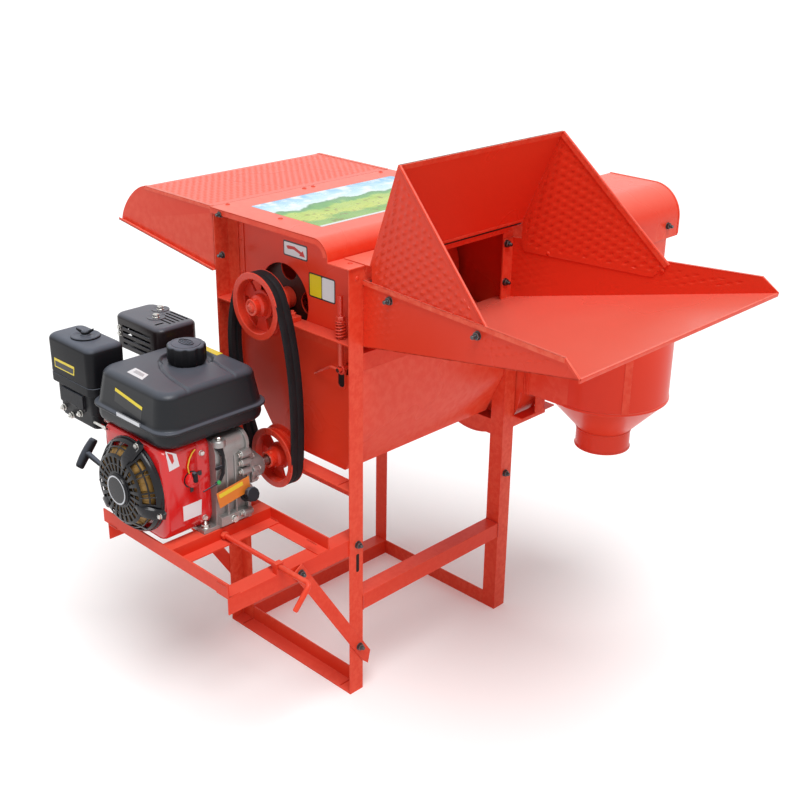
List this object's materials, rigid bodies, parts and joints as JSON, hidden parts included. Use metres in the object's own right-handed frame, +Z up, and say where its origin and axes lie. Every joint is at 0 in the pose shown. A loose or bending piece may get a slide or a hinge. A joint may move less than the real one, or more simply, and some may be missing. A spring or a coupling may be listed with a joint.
{
  "type": "threshing machine",
  "caption": "Belt-driven threshing machine on an angle-iron stand, with side engine, splayed feed tray, straw hood and cyclone grain outlet.",
  "frame": {"origin": "on the ground under the middle of the whole machine's box", "axes": "+X towards the feed tray, +Y from the engine side to the cyclone side, +Z up"},
  "size_m": [1.421, 1.2296, 1.256],
  "materials": {
    "frame_red": "gloss enamel on mill-finish angle iron",
    "sheet_red": "gloss enamel on sheet steel, partly embossed",
    "pulley_red": "enamel on a cast wheel",
    "drum_paint": "satin enamel",
    "spring_steel": "oversprayed wire",
    "shaft_steel": "turned steel",
    "belt_rubber": "matt fabric-backed rubber",
    "cast_alloy": "shot-blasted casting",
    "engine_red": "high gloss enamel",
    "black_paint": "satin black enamel",
    "black_plastic": "moulded, lightly textured",
    "switch_red": "moulded"
  },
  "bodies": {
    "frame": {"leg_a": "frame_red", "leg_b": "frame_red", "leg_c": "frame_red", "leg_d": "frame_red", "floor_bar_near": "frame_red", "floor_bar_far": "frame_red", "floor_bar_rear": "frame_red", "mid_rail": "frame_red", "tray_rail": "frame_red", "bearing_rail_near": "frame_red", "bearing_rail_far": "frame_red", "lower_rail_near": "frame_red", "lower_rail_far": "frame_red", "platform_arm_a": "frame_red", "platform_arm_d": "frame_red", "platform_rail_near": "frame_red", "platform_rail_far": "frame_red", "engine_rail_right": "frame_red", "engine_rail_left": "frame_red", "brace_a": "frame_red", "brace_d": "frame_red", "side_panel_near": "sheet_red", "side_panel_far": "sheet_red", "drum_cover": "sheet_red", "collecting_hopper": "sheet_red", "discharge_hood": "sheet_red", "feed_tray": "sheet_red", "hood_left": "sheet_red", "hood_right": "sheet_red", "hood_back": "sheet_red", "fan_housing": "sheet_red", "cyclone": "sheet_red", "exhaust_hood": "sheet_red", "bearing_near": "frame_red", "bearing_far": "frame_red", "concave_spring": "spring_steel", "belt_front": "belt_rubber", "belt_rear": "belt_rubber", "fan_belt": "belt_rubber", "engine_block": "cast_alloy", "reduction_case": "cast_alloy", "fan_shroud": "engine_red", "recoil_cover": "black_paint", "fuel_tank": "black_paint", "air_cleaner": "black_plastic", "muffler": "black_paint"},
    "drum": {"threshing_drum": "drum_paint", "drum_shaft": "shaft_steel", "drum_pulley": "pulley_red"},
    "output": {"output_shaft": "shaft_steel", "engine_pulley": "pulley_red"},
    "fan": {"fan_impeller": "drum_paint", "fan_shaft": "shaft_steel"},
    "tension_screw": {"tension_screw": "frame_red"},
    "fuel_cap": {"fuel_cap": "black_plastic"},
    "stop_switch": {"stop_switch": "switch_red"},
    "throttle_lever": {"throttle_lever": "shaft_steel"},
    "pull_handle": {"pull_handle": "black_plastic"},
    "concave": {"concave": "drum_paint"},
    "concave_rod": {"concave_rod": "frame_red"}
  },
  "joints": [
    {"name": "drum_spin", "type": "hinge", "parent": "frame", "child": "drum", "pos_m": [-0.1545, 0, 0.901], "axis": [0, 1, 0], "continuous": true},
    {"name": "output_spin", "type": "hinge", "parent": "frame", "child": "output", "pos_m": [-0.1125, -0.2772, 0.555], "axis": [0, 1, 0], "continuous": true},
    {"name": "fan_spin", "type": "hinge", "parent": "frame", "child": "fan", "pos_m": [-0.0445, 0.3628, 0.612], "axis": [0, 1, 0], "continuous": true},
    {"name": "screw_turn", "type": "hinge", "parent": "frame", "child": "tension_screw", "pos_m": [0.0555, -0.4342, 0.426], "axis": [1, 0, 0], "continuous": true},
    {"name": "cap_turn", "type": "hinge", "parent": "frame", "child": "fuel_cap", "pos_m": [-0.2565, -0.3912, 0.776], "axis": [0, 0, 1], "range_deg": [0, 90]},
    {"name": "switch_turn", "type": "hinge", "parent": "frame", "child": "stop_switch", "pos_m": [-0.1045, -0.5002, 0.58], "axis": [1, 0, 0], "range_deg": [0, 60]},
    {"name": "throttle_swing", "type": "hinge", "parent": "frame", "child": "throttle_lever", "pos_m": [-0.3195, -0.5702, 0.6527], "axis": [0, 1, 0], "range_deg": [0, 30]},
    {"name": "starter_pull", "type": "slide", "parent": "frame", "child": "pull_handle", "axis": [-1, 0, 0], "range_m": [0, 0.06], "stiffness_N_per_m": 60, "springref_m": -0.05},
    {"name": "concave_float", "type": "hinge", "parent": "frame", "child": "concave", "pos_m": [-0.30404, 0, 0.83127], "axis": [0, 1, 0], "range_deg": [0, 2], "stiffness_Nm_per_rad": 400, "springref_deg": -2.86},
    {"name": "rod_slide", "type": "slide", "parent": "frame", "child": "concave_rod", "axis": [0, 0, -1], "range_m": [0, 0.0125], "deforming": ["concave_spring"]}
  ],
  "couplings": [
    {"joint": "output_spin", "follows": "drum_spin", "ratio": 1.0714},
    {"joint": "fan_spin", "follows": "drum_spin", "ratio": 1.3333},
    {"joint": "rod_slide", "follows": "concave_float", "m_per_rad": 0.3545}
  ]
}
